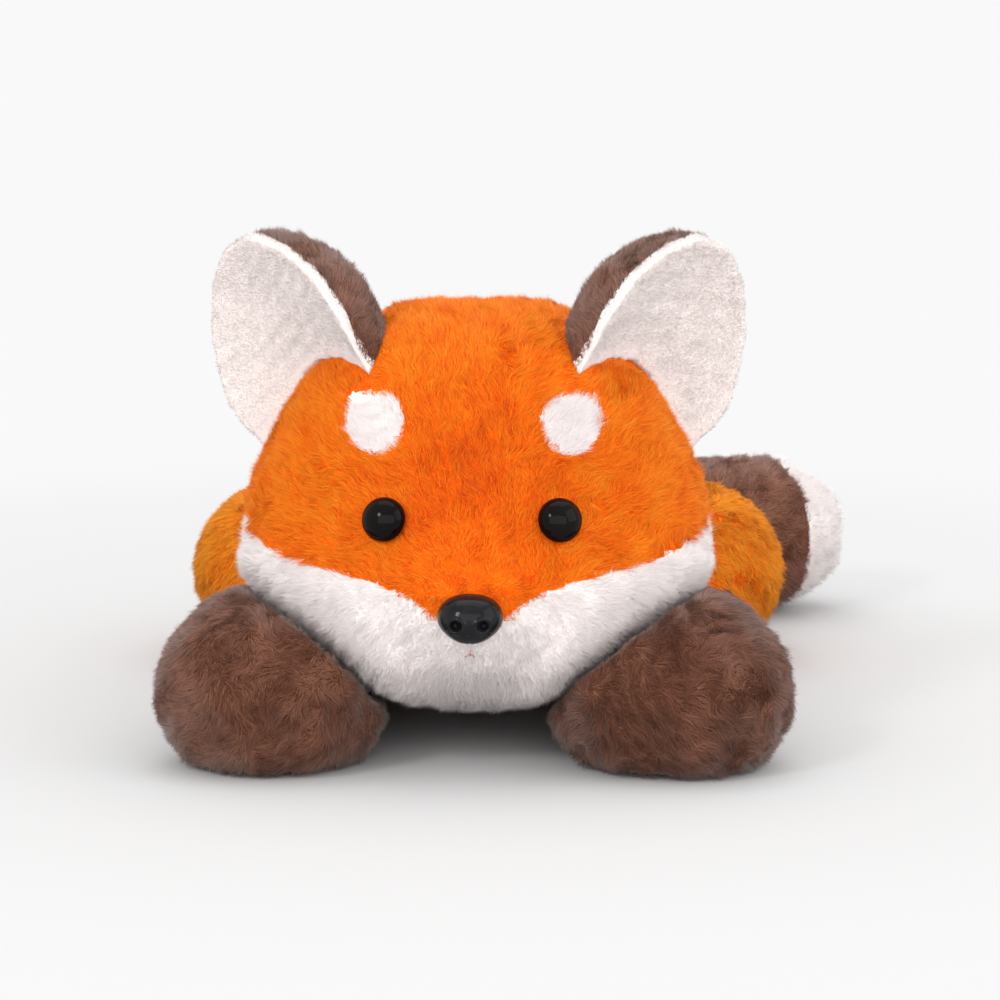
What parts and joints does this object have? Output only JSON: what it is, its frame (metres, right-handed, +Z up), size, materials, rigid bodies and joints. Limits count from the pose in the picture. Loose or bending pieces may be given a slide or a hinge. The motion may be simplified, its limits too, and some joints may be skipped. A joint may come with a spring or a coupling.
{
  "type": "plush fox",
  "caption": "Plush fox lying on its belly with its head between splayed front paws, big cupped ears and a tail curled round one haunch.",
  "frame": {"origin": "on the floor at the middle of the flat that the belly rests on, in the plane of symmetry of body and head", "axes": "+X to the fox's own left, which is the right of the picture, +Y from the nose to the rump, +Z up"},
  "size_m": [0.2535, 0.3557, 0.1672],
  "materials": {
    "orange_plush": "long pile plush",
    "white_plush": "long pile plush",
    "brown_plush": "long pile plush",
    "stuffing": "loose polyester fibre",
    "black_plastic": "polished",
    "washer_plastic": "moulded",
    "mouth_thread": "thread"
  },
  "bodies": {
    "body": {"back_skin": "orange_plush", "belly_skin": "orange_plush", "body_stuffing": "stuffing"},
    "head": {"head_skin": "orange_plush", "cheek_skin_left": "white_plush", "cheek_skin_right": "white_plush", "brow_spot_left": "white_plush", "brow_spot_right": "white_plush", "head_stuffing": "stuffing", "eye_left": "black_plastic", "eye_right": "black_plastic", "eye_washer_left": "washer_plastic", "eye_washer_right": "washer_plastic", "nose": "black_plastic", "nose_washer": "washer_plastic", "mouth_stitch": "mouth_thread"},
    "tail": {"tail_skin": "brown_plush", "tail_tip_skin": "white_plush", "tail_stuffing": "stuffing"},
    "ear_left": {"ear_front_left": "white_plush", "ear_back_left": "brown_plush", "ear_stuffing_left": "stuffing"},
    "front_leg_left": {"front_leg_skin_left": "brown_plush", "front_leg_stuffing_left": "stuffing"},
    "hind_leg_left": {"thigh_skin_left": "orange_plush", "hind_foot_skin_left": "brown_plush", "hind_leg_stuffing_left": "stuffing"},
    "ear_right": {"ear_front_right": "white_plush", "ear_back_right": "brown_plush", "ear_stuffing_right": "stuffing"},
    "front_leg_right": {"front_leg_skin_right": "brown_plush", "front_leg_stuffing_right": "stuffing"},
    "hind_leg_right": {"thigh_skin_right": "orange_plush", "hind_foot_skin_right": "brown_plush", "hind_leg_stuffing_right": "stuffing"}
  },
  "joints": [
    {"name": "head_nod", "type": "hinge", "parent": "body", "child": "head", "pos_m": [0, -0.09, 0.052], "axis": [-1, 0, 0], "range_deg": [0, 6], "stiffness_Nm_per_rad": 1.2},
    {"name": "ear_fold_left", "type": "hinge", "parent": "head", "child": "ear_left", "pos_m": [-0.04436, -0.14907, 0.1111], "axis": [0.4752, -0.6743, 0.5652], "range_deg": [-15, 15], "stiffness_Nm_per_rad": 0.15},
    {"name": "front_leg_swing_left", "type": "hinge", "parent": "body", "child": "front_leg_left", "pos_m": [-0.05, -0.088, 0.028], "axis": [0, 0, -1], "range_deg": [0, 12], "stiffness_Nm_per_rad": 0.6},
    {"name": "hind_leg_swing_left", "type": "hinge", "parent": "body", "child": "hind_leg_left", "pos_m": [-0.066, 0.052, 0.0325], "axis": [0, 0, -1], "range_deg": [0, 10], "stiffness_Nm_per_rad": 1},
    {"name": "ear_fold_right", "type": "hinge", "parent": "head", "child": "ear_right", "pos_m": [0.04436, -0.14907, 0.1111], "axis": [0.4752, 0.6743, -0.5652], "range_deg": [-15, 15], "stiffness_Nm_per_rad": 0.15},
    {"name": "front_leg_swing_right", "type": "hinge", "parent": "body", "child": "front_leg_right", "pos_m": [0.05, -0.088, 0.028], "axis": [0, 0, 1], "range_deg": [0, 12], "stiffness_Nm_per_rad": 0.6},
    {"name": "hind_leg_swing_right", "type": "hinge", "parent": "body", "child": "hind_leg_right", "pos_m": [0.066, 0.052, 0.0325], "axis": [0, 0, 1], "range_deg": [0, 10], "stiffness_Nm_per_rad": 1},
    {"name": "tail_swing", "type": "hinge", "parent": "body", "child": "tail", "pos_m": [0.008, 0.058, 0.029], "axis": [0, 0, 1], "range_deg": [0, 18], "stiffness_Nm_per_rad": 0.5}
  ]
}
